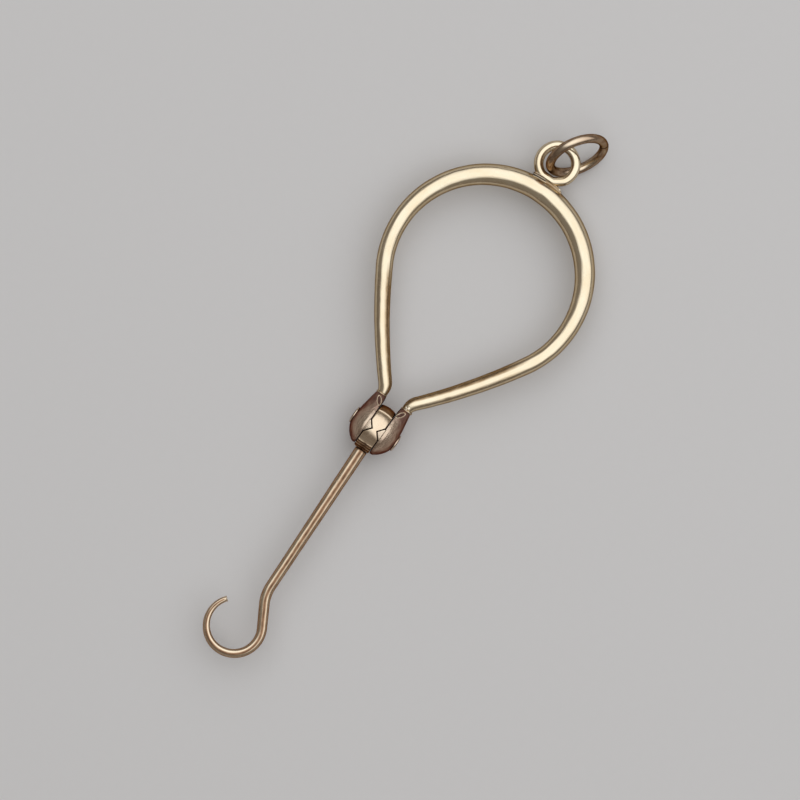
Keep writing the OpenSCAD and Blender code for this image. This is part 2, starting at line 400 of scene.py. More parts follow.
def wire_skin(path: WirePath, sides: int, waver: float, toned: float,
              dents: Dents = Dents()) -> Skin:
    """Round wire along a path: centre + radius * (cos a * left + sin a * up).

    A hand-drawn wire wavers: its radius is changed by a share of three slow waves, each of a
    size, a rate along the wire, a count round it and a phase. Dents are taken off the radius.
    The wire is left bright above and below, and toned along its sides by
    exp(-(sin a / SIDE_TONE)^2): partly patina, partly painted dark reflection.

    Args:
        path: Stations of the wire.
        sides: Points round the wire.
        waver: Share of the radius by which it wavers.
        toned: Darkening of its sides, partly patina and partly painted dark reflection.
        dents: Knocks in the surface.

    Returns:
        The wire's skin, with its straightened coordinates as the lay.
    """
    a = np.arange(sides) * 360 / sides
    s = path.length()
    sa, ra = s[:, None], np.radians(a)[None, :]
    waves = sum(size * np.sin(rate * sa + n * ra + phase) for size, rate, n, phase in WAVER)
    r = path.radius[:, None] * (1 + waver * waves) - dents.depth(s, a)
    side, up = r * np.cos(ra), r * np.sin(ra)
    flat = path.xy[:, None, :] + side[..., None] * left_of(path.heading)[:, None, :]
    lay = np.stack(np.broadcast_arrays(sa, side, up), -1)
    return Skin(raised(flat, up), toned * np.exp(-((np.sin(ra) / SIDE_TONE) ** 2)), lay)


def drop_skin(place: np.ndarray, size: tuple[float, float, float], phase: float) -> Skin:
    """Drop of solder: a ball whose radius is changed by two waves over its angles.

    Args:
        place: Middle of the drop.
        size: Half lengths of the drop.
        phase: Turn of the waves.

    Returns:
        The drop's skin.
    """
    theta, phi = np.radians(np.linspace(4, 176, 40)), circle(9.0)
    row, col = theta[:, None], phi[None, :]
    swell, lump = 0.12, 0.08
    r = 1 + swell * np.sin(2 * col + 3 * row + phase) + lump * np.cos(3 * col - row - phase)
    return Skin(place + r[..., None] * ball_dirs(theta, phi) * size, np.zeros(1))


# Finishes


class Graph:
    """A node tree with short calls for adding nodes and links."""

    def __init__(self, tree: bpy.types.NodeTree) -> None:
        """Takes the tree to fill, and empties it."""
        self.tree = tree
        tree.nodes.clear()

    def add(self, kind: str, inputs: dict | None = None, **settings: object) -> bpy.types.Node:
        """Adds a node.

        Args:
            kind: Type name of the node.
            inputs: Values, or sockets to link from, by input name or number.
            settings: Properties of the node, set before its inputs.

        Returns:
            The new node.
        """
        node = self.tree.nodes.new(kind)
        for name, value in settings.items():
            setattr(node, name, value)
        for name, value in (inputs or {}).items():
            if isinstance(value, bpy.types.NodeSocket):
                self.tree.links.new(value, node.inputs[name])
            else:
                node.inputs[name].default_value = value
        return node

    def maths(self, operation: str, *values: object, clamp: bool = False) -> bpy.types.NodeSocket:
        """Adds a Math node on numbers or sockets, and gives its result's socket."""
        inputs = dict(enumerate(values))
        return self.add("ShaderNodeMath", inputs, operation=operation, use_clamp=clamp).outputs[0]

    def blend(self, factor: object, a: object, b: object) -> bpy.types.NodeSocket:
        """Blends colour a into colour b by a factor, and gives the result's socket."""
        return self.add("ShaderNodeMix", {0: factor, 6: a, 7: b}, data_type="RGBA").outputs[2]

    def noise(self, lay: object, stretch: tuple[float, float, float], scale: float,
              detail: float) -> bpy.types.NodeSocket:
        """Adds a noise texture on stretched coordinates.

        Args:
            lay: Coordinates.
            stretch: Factors on the three coordinates.
            scale: Scale of the noise.
            detail: Octaves of the noise.

        Returns:
            The noise value's socket, about 0 to 1.
        """
        mapped = self.add("ShaderNodeMapping", {"Vector": lay, "Scale": stretch})
        inputs = {"Vector": mapped.outputs[0], "Scale": scale, "Detail": detail}
        return self.add("ShaderNodeTexNoise", inputs).outputs["Fac"]


def make_group(name: str, inputs: dict[str, str],
               outputs: dict[str, str]) -> tuple[Graph, dict, bpy.types.Node]:
    """Starts a shader node group with named sockets.

    Args:
        name: Name of the group.
        inputs: Socket types by input name.
        outputs: Socket types by output name.

    Returns:
        The group's graph, its input sockets by name and its output node.
    """
    tree = bpy.data.node_groups.new(name, "ShaderNodeTree")
    graph = Graph(tree)
    for sockets, way in ((inputs, "INPUT"), (outputs, "OUTPUT")):
        for socket, kind in sockets.items():
            tree.interface.new_socket(name=socket, in_out=way, socket_type="NodeSocket" + kind)
    start = graph.add("NodeGroupInput")
    end = graph.add("NodeGroupOutput")
    return graph, {s.name: s for s in start.outputs if s.name}, end


def polish_group() -> bpy.types.NodeTree:
    """Hand polish: fine and broad streaks along the lay, slow ripples, a few hairline scratches.

    Streaks are two noises drawn out along the lay, ripples are wide soft noise, and scratches are
    the narrow band where a slanted, drawn-out noise crosses its middle.

    Returns:
        The group, which puts out a roughness and a height.
    """
    narrow, sparse = 36.0, 0.56
    broad_high, scratch_deep = 2.2, 0.18
    streak_rough, tarnish_rough, scratch_rough = 0.10, 0.28, 0.12
    inputs = {"Lay": "Vector"}
    inputs |= dict.fromkeys(("Roughness", "Streak", "Ripple", "Tarnish"), "Float")
    outputs = {"Roughness": "Float", "Height": "Float"}
    graph, read, end = make_group("hand_polish", inputs, outputs)
    streak = graph.noise(read["Lay"], (0.16, 5.0, 5.0), 1.6, 3.0)
    broad = graph.noise(read["Lay"], (0.06, 1.5, 1.5), 1.6, 1.0)
    ripple = graph.noise(read["Lay"], (0.5, 1.0, 1.0), 0.9, 1.0)
    slant = graph.add("ShaderNodeMapping", {"Vector": read["Lay"], "Rotation": (0.5, 0.6, 0.45)})
    hair = graph.noise(slant.outputs[0], (0.25, 2.2, 2.2), 1.0, 1.0)
    off = graph.maths("ABSOLUTE", graph.maths("SUBTRACT", hair, 0.5))
    scratch = graph.maths("SUBTRACT", 1.0, graph.maths("MULTIPLY", off, narrow), clamp=True)
    where = graph.noise(read["Lay"], (0.6, 0.6, 0.6), 1.1, 0.0)
    scratch = graph.maths("MULTIPLY", scratch, graph.maths("GREATER_THAN", where, sparse))
    height = graph.maths("MULTIPLY_ADD", broad, broad_high, streak)
    height = graph.maths("MULTIPLY", height, read["Streak"])
    height = graph.maths("ADD", height, graph.maths("MULTIPLY", ripple, read["Ripple"]))
    height = graph.maths("SUBTRACT", height, graph.maths("MULTIPLY", scratch, scratch_deep))
    rough = graph.maths("SUBTRACT", streak, 0.5)
    rough = graph.maths("MULTIPLY_ADD", rough, streak_rough, read["Roughness"])
    rough = graph.maths("MULTIPLY_ADD", read["Tarnish"], tarnish_rough, rough)
    rough = graph.maths("MULTIPLY_ADD", scratch, scratch_rough, rough, clamp=True)
    graph.tree.links.new(rough, end.inputs["Roughness"])
    graph.tree.links.new(height, end.inputs["Height"])
    return graph.tree


def tone_group() -> bpy.types.NodeTree:
    """Tone of old gold: cloudy patches, then a patina, then near black as the darkening deepens.

    The darkening is broken up by a fine noise. Its lower half turns the gold to the patina, and its
    upper half turns the patina to near black, the painted shade of seams and crevices.

    Returns:
        The group, which puts out a colour.
    """
    cloud_gain, cloud_start = 2.2, -0.75
    patch_gain, patch_least = 0.9, 0.55
    inputs = {"Lay": "Vector"}
    inputs |= dict.fromkeys(("Tone", "Cloud", "Patina", "Deep"), "Color")
    inputs["Tarnish"] = "Float"
    graph, read, end = make_group("old_gold_tone", inputs, {"Color": "Color"})
    cloud = graph.noise(read["Lay"], (0.35, 0.8, 0.8), 1.0, 3.0)
    cloud = graph.maths("MULTIPLY_ADD", cloud, cloud_gain, cloud_start, clamp=True)
    colour = graph.blend(cloud, read["Tone"], read["Cloud"])
    patch = graph.noise(read["Lay"], (0.4, 1.0, 1.0), 3.0, 3.0)
    patch = graph.maths("MULTIPLY_ADD", patch, patch_gain, patch_least)
    darkening = graph.maths("MULTIPLY", patch, read["Tarnish"])
    lower = graph.maths("MULTIPLY", darkening, 2.0, clamp=True)
    upper = graph.maths("MULTIPLY_ADD", darkening, 2.0, -1.0, clamp=True)
    colour = graph.blend(lower, colour, read["Patina"])
    colour = graph.blend(upper, colour, read["Deep"])
    graph.tree.links.new(colour, end.inputs["Color"])
    return graph.tree


@dataclass(frozen=True)
class GoldFinish:
    """Polished gold, worn by handling."""

    name: str
    tone: Colour
    cloud: Colour
    patina: Colour
    deep: Colour
    roughness: float
    streak: float
    ripple: float
    relief: float = 0.012

    def material(self, polish: bpy.types.NodeTree, tone: bpy.types.NodeTree) -> bpy.types.Material:
        """Makes the material from the two shared groups.

        Args:
            polish: Group of the polish.
            tone: Group of the tone.

        Returns:
            The material.
        """
        material = bpy.data.materials.new(self.name)
        material.use_nodes = True
        graph = Graph(material.node_tree)
        shared = {
            "Lay": graph.add("ShaderNodeAttribute", attribute_name="lay").outputs["Vector"],
            "Tarnish": graph.add("ShaderNodeAttribute", attribute_name="tarnish").outputs["Fac"],
        }
        colours = {"Tone": self.tone, "Cloud": self.cloud,
                   "Patina": self.patina, "Deep": self.deep}
        wear_and_sheen = {"Roughness": self.roughness, "Streak": self.streak, "Ripple": self.ripple}
        colour = graph.add("ShaderNodeGroup", shared | colours, node_tree=tone)
        surface = graph.add("ShaderNodeGroup", shared | wear_and_sheen, node_tree=polish)
        height = {"Height": surface.outputs["Height"], "Distance": self.relief * MM}
        bump = graph.add("ShaderNodeBump", height)
        shader = graph.add("ShaderNodeBsdfPrincipled", {
            "Base Color": colour.outputs["Color"],
            "Roughness": surface.outputs["Roughness"],
            "Normal": bump.outputs["Normal"],
            "Metallic": 1.0,
            "Specular Tint": self.patina,
        })
        graph.add("ShaderNodeOutputMaterial", {"Surface": shader.outputs[0]})
        return material


def settle(piece: bpy.types.Object, body: Body, *nodes: str) -> bpy.types.Object:
    """Makes a piece ride on a body, in the place of solids.

    Args:
        piece: The piece.
        body: Body that it moves with.
        nodes: Solids that it stands for.

    Returns:
        The piece.
    """
    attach(piece, body.value)
    if nodes:
        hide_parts(*nodes)
    LOG.info("%s: %d vertices, on %s", piece.name, len(piece.data.vertices), body.value)
    return piece


@dataclass
class Finishes:
    """The golds of the tool, made once."""

    made: dict[str, bpy.types.Material] = field(default_factory=dict)

    def build(self) -> None:
        """Makes a material for each slot, a scuffed, an aged and a solder one."""
        polish, tone = polish_group(), tone_group()
        golds = (
            GoldFinish("yellow_gold", (0.92, 0.80, 0.58, 1), (0.87, 0.72, 0.48, 1),
                       (0.35, 0.235, 0.125, 1), (0.03, 0.018, 0.01, 1),
                       roughness=0.12, streak=0.6, ripple=1.8),
            GoldFinish("rose_gold", (0.93, 0.79, 0.57, 1), (0.86, 0.66, 0.46, 1),
                       (0.33, 0.19, 0.105, 1), (0.025, 0.013, 0.01, 1),
                       roughness=0.13, streak=0.7, ripple=1.6),
            GoldFinish("scuffed_gold", (0.92, 0.79, 0.58, 1), (0.81, 0.62, 0.45, 1),
                       (0.27, 0.15, 0.115, 1), (0.025, 0.013, 0.01, 1),
                       roughness=0.185, streak=2.8, ripple=1.6),
            GoldFinish("aged_gold", (0.92, 0.79, 0.58, 1), (0.84, 0.65, 0.46, 1),
                       (0.29, 0.185, 0.115, 1), (0.025, 0.014, 0.009, 1),
                       roughness=0.12, streak=0.7, ripple=1.8),
            GoldFinish("solder", (0.93, 0.83, 0.64, 1), (0.88, 0.75, 0.54, 1),
                       (0.42, 0.30, 0.18, 1), (0.04, 0.025, 0.015, 1),
                       roughness=0.16, streak=0.3, ripple=3.0),
        )
        for gold in golds:
            self.made[gold.name] = gold.material(polish, tone)

    def dress(self, piece: bpy.types.Object, slot: Slot, finish: str | None = None) -> None:
        """Gives a piece its slot's finish, or another by name."""
        piece.data.materials.append(self.made[finish or slot.value])

    def fit(self, skin: Skin, node: str, body: Body, slot: Slot, finish: str | None = None) -> None:
        """Makes the dressed piece that stands for a solid."""
        self.dress(settle(skin.build(f"dressed_{node}"), body, node), slot, finish)

    def solder(self, skins: dict[str, Skin]) -> None:
        """Makes pieces of solder on the handle, from skins by name, placed from the pivot.

        Args:
            skins: The skins by the names of their pieces.
        """
        for name, skin in skins.items():
            piece = settle(skin.moved(PIVOT).build(name), Body.HANDLE)
            self.dress(piece, Slot.YELLOW, "solder")


# Sub-assemblies


@dataclass
class BallJoint:
    """Split ball: two cheeks and their keys on the handle, the knuckle on the hook, and a rivet."""

    ball_d: float = 6.2
    cheek_gap: float = 2.16
    seam: float = 0.06
    # Reach and softness of the painted shade along the seams between cheeks and knuckle.
    seam_shade: float = 0.07
    seam_soft: float = 0.03
    stub_d: float = 1.44
    stub_reach: float = 3.55
    foot_lean: float = 0.0
    foot_d: float = 1.2
    key_h: float = 0.68
    key_w: float = 1.66
    key_lean: float = 2.0
    rivet_d: float = 1.0
    rivet_clear: float = 0.03
    rivet_head_d: float = 2.1
    rivet_rim_h: float = 0.18
    rivet_dome_h: float = 0.1
    shank_d: float = 1.54
    shank_skew: float = 1.8
    edge: float = 0.11
    bevel_w: float = 0.36
    bevel_turn: float = 23.0
    bevel_round: float = 0.05
    face_round: float = 0.07
    pad: float = 0.045
    pad_depth: float = 0.34
    pad_ramp: float = 0.1
    crease: float = 48.2
    ridge_h: float = 0.055
    ridge_w: float = 2.0
    furrow_h: float = 0.015
    furrow_w: float = 1.6
    furrow_off: float = 4.2
    peg_c: tuple[float, float] = (3.12, 1.57)
    peg_turn: float = 35.0
    peg_size: tuple[float, float] = (0.66, 0.31)
    peg_proud: float = 0.012
    peg_rim_h: float = 0.06
    peg_rim: Spot = (0.07, 0.05)
    # Painted dark reflection inside the peg's oval.
    peg_dark_reflection: float = 0.75
    neck: float = 2.08
    neck_cut: float = 0.035
    neck_ramp: float = 0.1
    bead_back: float = 0.2
    bead_h: float = 0.05
    bead_w: float = 0.14
    turning: float = 0.3
    turning_h: float = 0.02
    # Cheeks and knuckle are darkened at their sides, towards the middle height: partly patina,
    # partly painted dark reflection.
    cheek_tone: float = 0.62
    cheek_fade: float = 2.45
    # Painted shadow: a dark ring on each cheek round the rivet's head.
    head_shadow_tone: float = 0.9
    head_shadow_line: Spot = (0, 0.08)
    foot_line: Spot = (0, 0.07)
    knuckle_tone: float = 0.55
    knuckle_fade: float = 2.2
    root_tone: float = 0.22
    root_line: Spot = (1.0, 0.55)
    # Painted dark reflection on the knuckle beyond its crease.
    beyond_dark_reflection: float = 0.6
    neck_tone: float = 0.62
    turning_tone: float = 0.25
    bead_tone: float = 0.05
    bead_bright: float = 0.17

    @property
    def r(self) -> float:
        """Radius of the ball."""
        return self.ball_d / 2

    @property
    def bore(self) -> float:
        """Radius of the knuckle's bore."""
        return self.rivet_d / 2 + self.rivet_clear

    @property
    def face_y(self) -> float:
        """Distance of a cheek's inner face from the middle."""
        return self.cheek_gap / 2

    @property
    def stub(self) -> np.ndarray:
        """Centre of the left cheek's stub."""
        return np.array([self.stub_reach, self.face_y + self.stub_d / 2])

    @property
    def foot_end(self) -> np.ndarray:
        """Middle of the seat on which the bow's left foot butts."""
        seat = math.sqrt((self.stub_d / 2) ** 2 - (self.foot_d / 2) ** 2)
        return self.stub + seat * heading_dir(self.foot_lean)

    @property
    def head_seat(self) -> float:
        """Distance of the flats under the rivet's heads from the middle."""
        return math.sqrt(self.r**2 - (self.rivet_head_d / 2) ** 2)

    @property
    def shank_seat(self) -> float:
        """Distance of the shank's seat from the pivot."""
        return math.sqrt(self.r**2 - (self.shank_d / 2) ** 2)

    def down_shank(self, p: np.ndarray) -> np.ndarray:
        """Distance of points from the pivot along the shank."""
        return p[..., :2] @ heading_dir(180 + self.shank_skew)

    def rings(self, out: np.ndarray) -> np.ndarray:
        """Wave of the neck's turned rings: a cosine of the distance along the shank."""
        return np.cos(2 * np.pi * (out - self.neck) / self.turning + 2)

    @staticmethod
    def tilt(p: np.ndarray) -> np.ndarray:
        """Angle of points from upright towards the bow, in degrees, seen along the rivet."""
        return np.degrees(np.arctan2(p[..., 0], np.abs(p[..., 2])))

    def tear(self, p: np.ndarray) -> np.ndarray:
        """Distance from the tear: the ball, and the cone that runs from it to the stub.

        Along the line to the stub the surface is the ball, then the cone that touches both the
        ball and a ball of the stub's radius, then the stub's ball.

        Args:
            p: Points.

        Returns:
            Distances, below zero inside.
        """
        reach = np.linalg.norm(self.stub)
        e = np.append(self.stub / reach, 0.0)
        along = p @ e
        across = np.linalg.norm(p - along[..., None] * e, axis=-1)
        sin = (self.r - self.stub_d / 2) / reach
        cos = math.sqrt(1 - sin * sin)
        k = cos * along - sin * across
        ball = np.linalg.norm(p, axis=-1) - self.r
        cone = cos * across + sin * along - self.r
        end = np.hypot(across, along - reach) - self.stub_d / 2
        return np.where(k < 0, ball, np.where(k > cos * reach, end, cone))

    def cheek_field(self, p: np.ndarray) -> np.ndarray:
        """Left cheek: the tear cut by its inner face, a bevel, the foot's seat and a flat.

        The bevel runs along the seam: it turns from the tear's slope towards the inner face's. Deep
        inside the ball the inner face carries a low pad that the knuckle turns against. The flat
        seats the rivet's head.

        Args:
            p: Points.

        Returns:
            Distances with rounded edges, below zero inside.
        """
        tear, y = self.tear(p), p[..., 1]
        pad = self.pad * np.clip((-tear - self.pad_depth) / self.pad_ramp, 0, 1)
        cos, sin = heading_dir(self.bevel_turn)
        bevel = cos * tear + sin * (self.face_y - y + self.bevel_w)
        seat = (p[..., :2] - self.foot_end) @ heading_dir(self.foot_lean)
        body = smooth_max(tear, bevel, self.bevel_round)
        body = smooth_max(body, self.face_y - pad - y, self.face_round)
        body = smooth_max(body, seat, self.edge)
        return smooth_max(body, y - self.head_seat, 0.5 * self.edge)

    def cheek_skin(self) -> Skin:
        """Left cheek on rays from its middle, by angle from +Y and angle round Y.

        The rows crowd where the inner face meets the ball, so that the worn edge is smooth.

        Returns:
            The cheek's skin.
        """
        theta = np.interp(np.linspace(0, 1, 190), [0, 0.42, 0.78, 1], [0.4, 96, 116, 179.6])
        d = ball_dirs(np.radians(theta), circle(0.9))[..., [0, 2, 1]]
        middle = np.array([0.75, self.face_y + 0.9, 0.0])
        points = solve_rays(middle, d, self.cheek_field, 6.0)
        x, y, z = np.moveaxis(points, -1, 0)
        to_seat = (self.foot_end - points[..., :2]) @ heading_dir(self.foot_lean)
        on_flat = np.hypot(x, z) - self.rivet_head_d / 2
        # Sides darkened towards the middle height: partly patina, partly painted dark reflection.
        sides = self.cheek_tone * np.exp(-((z / self.cheek_fade) ** 2))
        # Painted shadow round the rivet's head, along the edge of its flat.
        head = self.head_shadow_tone * bells(on_flat, self.head_shadow_line) * (y > self.head_seat - 0.05)
        # Painted shade along the seam, on the cheek's inner edge.
        seam = np.clip((self.face_y + self.seam_shade - y) / self.seam_soft, 0, 1)
        return Skin(points, sides).darkened(bells(to_seat, self.foot_line), head, seam)

    def peg_skin(self) -> Skin:
        """End of the peg that pins the left foot, filed to the cheek's shoulder: a rimmed oval.

        The grid runs from the oval's middle to its outline, then down. Its height is that of the
        cheek, found along upright rays, plus a bell-shaped rim a little inside the outline.

        Returns:
            The peg's skin.
        """
        long, wide = self.peg_size
        share = np.concatenate([np.linspace(0.96, 0.5, 10), np.linspace(0.47, 0, 14), np.zeros(3)])
        inset = wide * share[:, None]
        drop = np.concatenate([np.zeros(24), [0.05, 0.1, 0.16]])[:, None]
        t = circle(4.0)[None, :]
        along, across = (long - inset) * np.cos(t), (wide - inset) * np.sin(t)
        flat = (np.array(self.peg_c) + along[..., None] * heading_dir(self.peg_turn)
                + across[..., None] * left_of(self.peg_turn))
        start = raised(flat, np.zeros(along.shape))
        up = np.array([0.0, 0.0, 1.0])
        top = solve_rays(start, np.broadcast_to(up, start.shape), self.cheek_field, 4.0)
        rise = self.peg_proud + self.peg_rim_h * bells(inset, self.peg_rim) - drop
        # Inside the rim the oval is darkened as a painted dark reflection; its sides, sunk below
        # the cheek, are painted shade.
        darkening = self.peg_dark_reflection * np.clip((inset - 0.1) / 0.04, 0, 1) + (drop > 0)
        return Skin(top + rise[..., None] * up, darkening)

    def side_field(self, p: np.ndarray) -> np.ndarray:
        """Distance from the knuckle's sides and their V grooves.

        A groove takes what lies beyond the height of its bottom plus its slope times the distance
        across the bar of the key.

        Args:
            p: Points.

        Returns:
            Distances, below zero inside the knuckle.
        """
        y = np.abs(p[..., 1])
        half = self.face_y - self.seam
        cos, sin = heading_dir(self.key_lean)
        across = np.abs(p[..., 0] * cos + p[..., 2] * sin)
        slope = 2 * self.key_h / self.key_w
        groove = (y - (half - self.key_h) - slope * across) / math.hypot(1, slope)
        return smooth_max(y - half, groove, 0.5 * self.edge)

    def knuckle_field(self, p: np.ndarray) -> np.ndarray:
        """Knuckle: the ball's middle slice, less a V groove on each side, the bore and the seat.

        A fine ridge with a furrow beside it crosses the ball on the bow's side. Round the shank's
        root the ball is turned: a bead, then a neck with rings.

        Args:
            p: Points.

        Returns:
            Distances with rounded edges, below zero inside.
        """
        tilt, out = self.tilt(p), self.down_shank(p)
        ridge = self.ridge_h * bells(tilt, (self.crease, self.ridge_w))
        furrow = self.furrow_h * bells(tilt, (self.crease - self.furrow_off, self.furrow_w))
        ridge = ridge - furrow
        on_neck = np.clip((out - self.neck) / self.neck_ramp, 0, 1)
        rings = (self.turning_h * self.rings(out) - self.neck_cut) * on_neck
        bead = self.bead_h * bells(out, (self.neck - self.bead_back, self.bead_w))
        ball = np.linalg.norm(p, axis=-1) - self.r - ridge - rings - bead
        body = smooth_max(ball, self.side_field(p), 1.4 * self.edge)
        body = smooth_max(body, out - self.shank_seat, 0.5 * self.edge)
        return np.maximum(body, self.bore - np.hypot(p[..., 0], p[..., 2]))

    def knuckle_skin(self) -> Skin:
        """Knuckle on rays from a circle round the pivot, by angle round Y and angle in the section.

        Returns:
            The knuckle's skin.
        """
        phi = np.radians(np.linspace(0, 360, 560, endpoint=False))[:, None]
        t = np.radians(np.arange(0, 360, 2.5) + 1.25)[None, :]
        middle, reach = (self.r + self.bore) / 2, (self.r - self.bore) / 2
        out = reach * signed_power(np.cos(t), 0.7)
        side = self.face_y * signed_power(np.sin(t), 0.7)
        out, side = out / np.hypot(out, side), side / np.hypot(out, side)
        d = np.stack(np.broadcast_arrays(out * np.cos(phi), side, out * np.sin(phi)), -1)
        start = middle * np.stack([np.cos(phi), 0 * phi, np.sin(phi)], -1)
        points = solve_rays(start, d, self.knuckle_field, 4.0)
        tilt, out = self.tilt(points), self.down_shank(points)
        # Sides darkened towards the middle height: partly patina, partly painted dark reflection.
        sides = self.knuckle_tone * np.exp(-((points[..., 2] / self.knuckle_fade) ** 2))
        # Painted dark reflection beyond the crease.
        beyond = self.beyond_dark_reflection * np.clip((tilt - self.crease - 1) / 2, 0, 1)
        root = self.root_tone * bells(out, self.root_line)
        toned = np.maximum.reduce([sides, root, beyond])
        turned = self.neck_tone - self.turning_tone * self.rings(out)
        toned = np.where(out > self.neck, turned, toned)
        on_bead = np.abs(out - self.neck + self.bead_back) < self.bead_bright
        toned = np.where(on_bead, self.bead_tone, toned)
        # Painted shade: near black along the seams, and over the seat hidden under the shank.
        seam_shade_mask = np.clip((self.side_field(points) + self.seam_shade) / self.seam_soft, 0, 1)
        seam_shade_mask = np.where(out > self.shank_seat - 0.02, 1, seam_shade_mask)
        return Skin(points, np.maximum(toned, seam_shade_mask), ring=True)

    def key_skin(self) -> Skin:
        """Left key: a bar of triangular section, on a low base, whose ends follow the ball.

        The section's radius in a direction is the inverse of the 24-norm of that direction's share
        of each side's distance. The bar's half length at a point of the section is the ball's
        height, less a small share of it that grows with the square of the point's way from flat
        to the section's edge and rounds the ends' rims.

        Returns:
            The key's skin.
        """
        norm, flat, straight, rounding, end_tone = 24, 0.7, 0.965, 0.03, 0.16
        t = circle(3.0)
        d = np.stack([np.cos(t), np.sin(t)], -1)
        half, third, base = self.key_w / 2, self.key_h / 3, 0.12
        flank = 2 * third * half / math.hypot(self.key_h, half)
        normals = np.array([[0, 1], [self.key_h, -half], [-self.key_h, -half], [1, 0], [-1, 0]])
        normals = normals / np.linalg.norm(normals, axis=1)[:, None]
        dist = np.array([third + base, flank, flank, half, half])
        sums = ((np.maximum(d @ normals.T, 0) / dist) ** norm).sum(-1)
        section = d / sums[:, None] ** (1 / norm)
        share = np.concatenate([np.linspace(0.05, flat, 12), np.linspace(0.73, 1, 12)])
        height = 1 - rounding * np.clip((share - flat) / (1 - flat), 0, 1) ** 2
        share = np.concatenate([share, np.ones(60), share[::-1]])
        height = np.concatenate([height, np.linspace(straight, -straight, 60), -height[::-1]])
        q = share[:, None] * section[None, :, 0]
        y = self.face_y - third + share[:, None] * section[None, :, 1]
        z = height[:, None] * np.sqrt(self.r**2 - q**2 - y**2)
        cos, sin = heading_dir(self.key_lean)
        points = np.stack([q * cos - z * sin, y, q * sin + z * cos], -1)
        # The end faces are toned grey and darker towards their outline; the bar's long faces, which
        # sit in the knuckle's grooves, are painted shade.
        end = np.where(share < 0.72, end_tone, 0.0) + np.clip((share - 0.9) / 0.06, 0, 1)
        return Skin(points, np.where(np.abs(height) < straight, 1.0, end)[:, None])

    def rivet_skin(self) -> Skin:
        """Rivet turned round Y: a shank between two heads, each a low dome on a straight rim.

        The dome's height at distance x from the axis is its full height times 1 - (x / radius)^2.
        A quarter circle rounds the edge between the dome and the rim.

        Returns:
            The rivet's skin.
        """
        head, edge, shank = self.rivet_head_d / 2, 0.05, self.rivet_d / 2
        rim_y = self.head_seat + self.rivet_rim_h
        b = np.radians(np.linspace(15, 90, 6))
        x = (head - edge) * np.linspace(0.03, 1, 16)
        dome = rim_y + self.rivet_dome_h * (1 - (x / (head - edge)) ** 2)
        rim = rim_y - edge + edge * np.cos(b)
        under = np.array([head, 0.99 * head, 0.9 * head, shank, shank])
        x = np.concatenate([x, head - edge + edge * np.sin(b), under])
        y = np.concatenate([dome, rim, self.head_seat + np.array([0.02, 0, 0, 0, -0.05])])
        # Painted shade: the dome darkens towards its middle, and the underside of each head is near
        # black. The rounded rim is left bare.
        darkening = np.concatenate([np.linspace(0.44, 0.28, 16), np.zeros(6), [0.8, 1, 1, 1, 1]])
        x, y, darkening = (np.concatenate([v, sign * v[::-1]])[:, None]
                       for v, sign in ((x, 1), (y, -1), (darkening, 1)))
        phi = circle(4.0)[None, :]
        return Skin(np.stack(np.broadcast_arrays(x * np.cos(phi), y, x * np.sin(phi)), -1), darkening)

    def build(self, finishes: Finishes) -> None:
        """Makes the cheeks with their keys and pegs, the rivet and the knuckle.

        Args:
            finishes: The golds.
        """
        solids = {"cheek": self.cheek_skin(), "detent_key": self.key_skin()}
        peg = self.peg_skin()
        for side in Side:
            name = side.name.lower()
            for word, skin in solids.items():
                here = skin.on(side).moved(PIVOT)
                finishes.fit(here, f"{name}_{word}", Body.HANDLE, Slot.ROSE, "scuffed_gold")
            piece = peg.on(side).moved(PIVOT).build(f"dressed_{name}_foot_peg")
            finishes.dress(settle(piece, Body.HANDLE), Slot.ROSE, "scuffed_gold")
        rivet, knuckle = self.rivet_skin().moved(PIVOT), self.knuckle_skin().moved(PIVOT)
        finishes.fit(rivet, "pivot_rivet", Body.HANDLE, Slot.ROSE, "scuffed_gold")
        finishes.fit(knuckle, "knuckle", Body.HOOK, Slot.ROSE)


